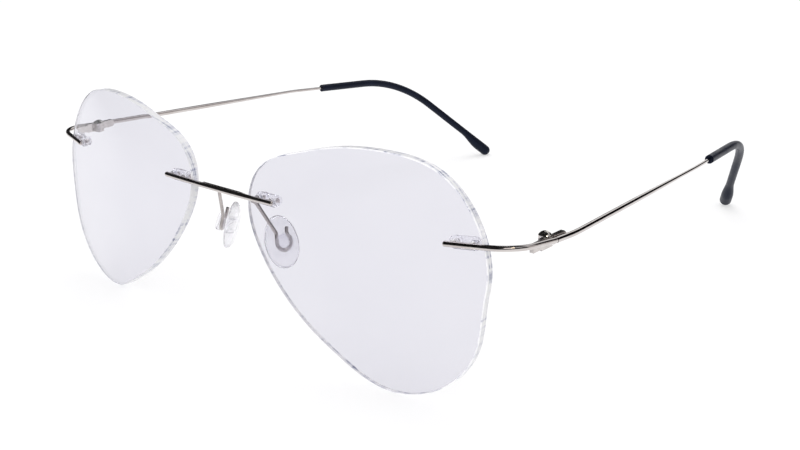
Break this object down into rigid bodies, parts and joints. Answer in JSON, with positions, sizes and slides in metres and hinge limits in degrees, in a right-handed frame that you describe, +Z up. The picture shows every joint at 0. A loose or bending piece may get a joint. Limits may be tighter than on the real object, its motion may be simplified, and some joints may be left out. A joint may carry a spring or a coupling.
{
  "type": "eyeglasses",
  "caption": "Rimless eyeglasses with clear lenses drilled for a wire bridge and wire temples, clear nose pads on hooked wire, folding temples and black ear sleeves.",
  "frame": {"origin": "middle of the open glasses' footprint, on the table they stand on", "axes": "+X to the wearer's left, +Y back along the temples (the front faces -Y), +Z up"},
  "size_m": [0.144, 0.1542, 0.0492],
  "materials": {
    "lens": "polished",
    "wire": "polished",
    "hinge_metal": "polished",
    "screw": "polished",
    "clear_plastic": "gloss",
    "clear_silicone": "satin",
    "black_silicone": "satin"
  },
  "bodies": {
    "front": {"left_lens": "lens", "right_lens": "lens", "bridge_bar": "wire", "bridge_pins": "wire", "pad_wire": "wire", "left_bridge_sleeve": "clear_plastic", "right_bridge_sleeve": "clear_plastic", "left_endpiece_sleeve": "clear_plastic", "right_endpiece_sleeve": "clear_plastic", "left_endpiece": "wire", "right_endpiece": "wire", "left_endpiece_pins": "wire", "right_endpiece_pins": "wire", "left_front_hinge_leaf": "hinge_metal", "right_front_hinge_leaf": "hinge_metal", "left_hinge_screw": "screw", "right_hinge_screw": "screw"},
    "left_temple": {"left_temple_hinge_leaf": "hinge_metal", "left_temple_wire": "wire", "left_temple_tip": "black_silicone"},
    "right_temple": {"right_temple_hinge_leaf": "hinge_metal", "right_temple_wire": "wire", "right_temple_tip": "black_silicone"},
    "left_pad": {"left_pad_stud": "clear_plastic", "left_nose_pad": "clear_silicone"},
    "right_pad": {"right_pad_stud": "clear_plastic", "right_nose_pad": "clear_silicone"}
  },
  "joints": [
    {"name": "left_temple_fold", "type": "hinge", "parent": "front", "child": "left_temple", "pos_m": [0.0694, -0.05567, 0.03302], "axis": [0, 0, 1], "range_deg": [0, 80]},
    {"name": "right_temple_fold", "type": "hinge", "parent": "front", "child": "right_temple", "pos_m": [-0.0694, -0.05567, 0.03302], "axis": [0, 0, -1], "range_deg": [0, 72]},
    {"name": "left_pad_swivel", "type": "hinge", "parent": "front", "child": "left_pad", "pos_m": [0.0084, -0.06518, 0.02142], "axis": [0.8514, -0.4598, 0.2524], "range_deg": [-12, 12]},
    {"name": "right_pad_swivel", "type": "hinge", "parent": "front", "child": "right_pad", "pos_m": [-0.0084, -0.06518, 0.02142], "axis": [-0.8514, -0.4598, 0.2524], "range_deg": [-12, 12]}
  ]
}
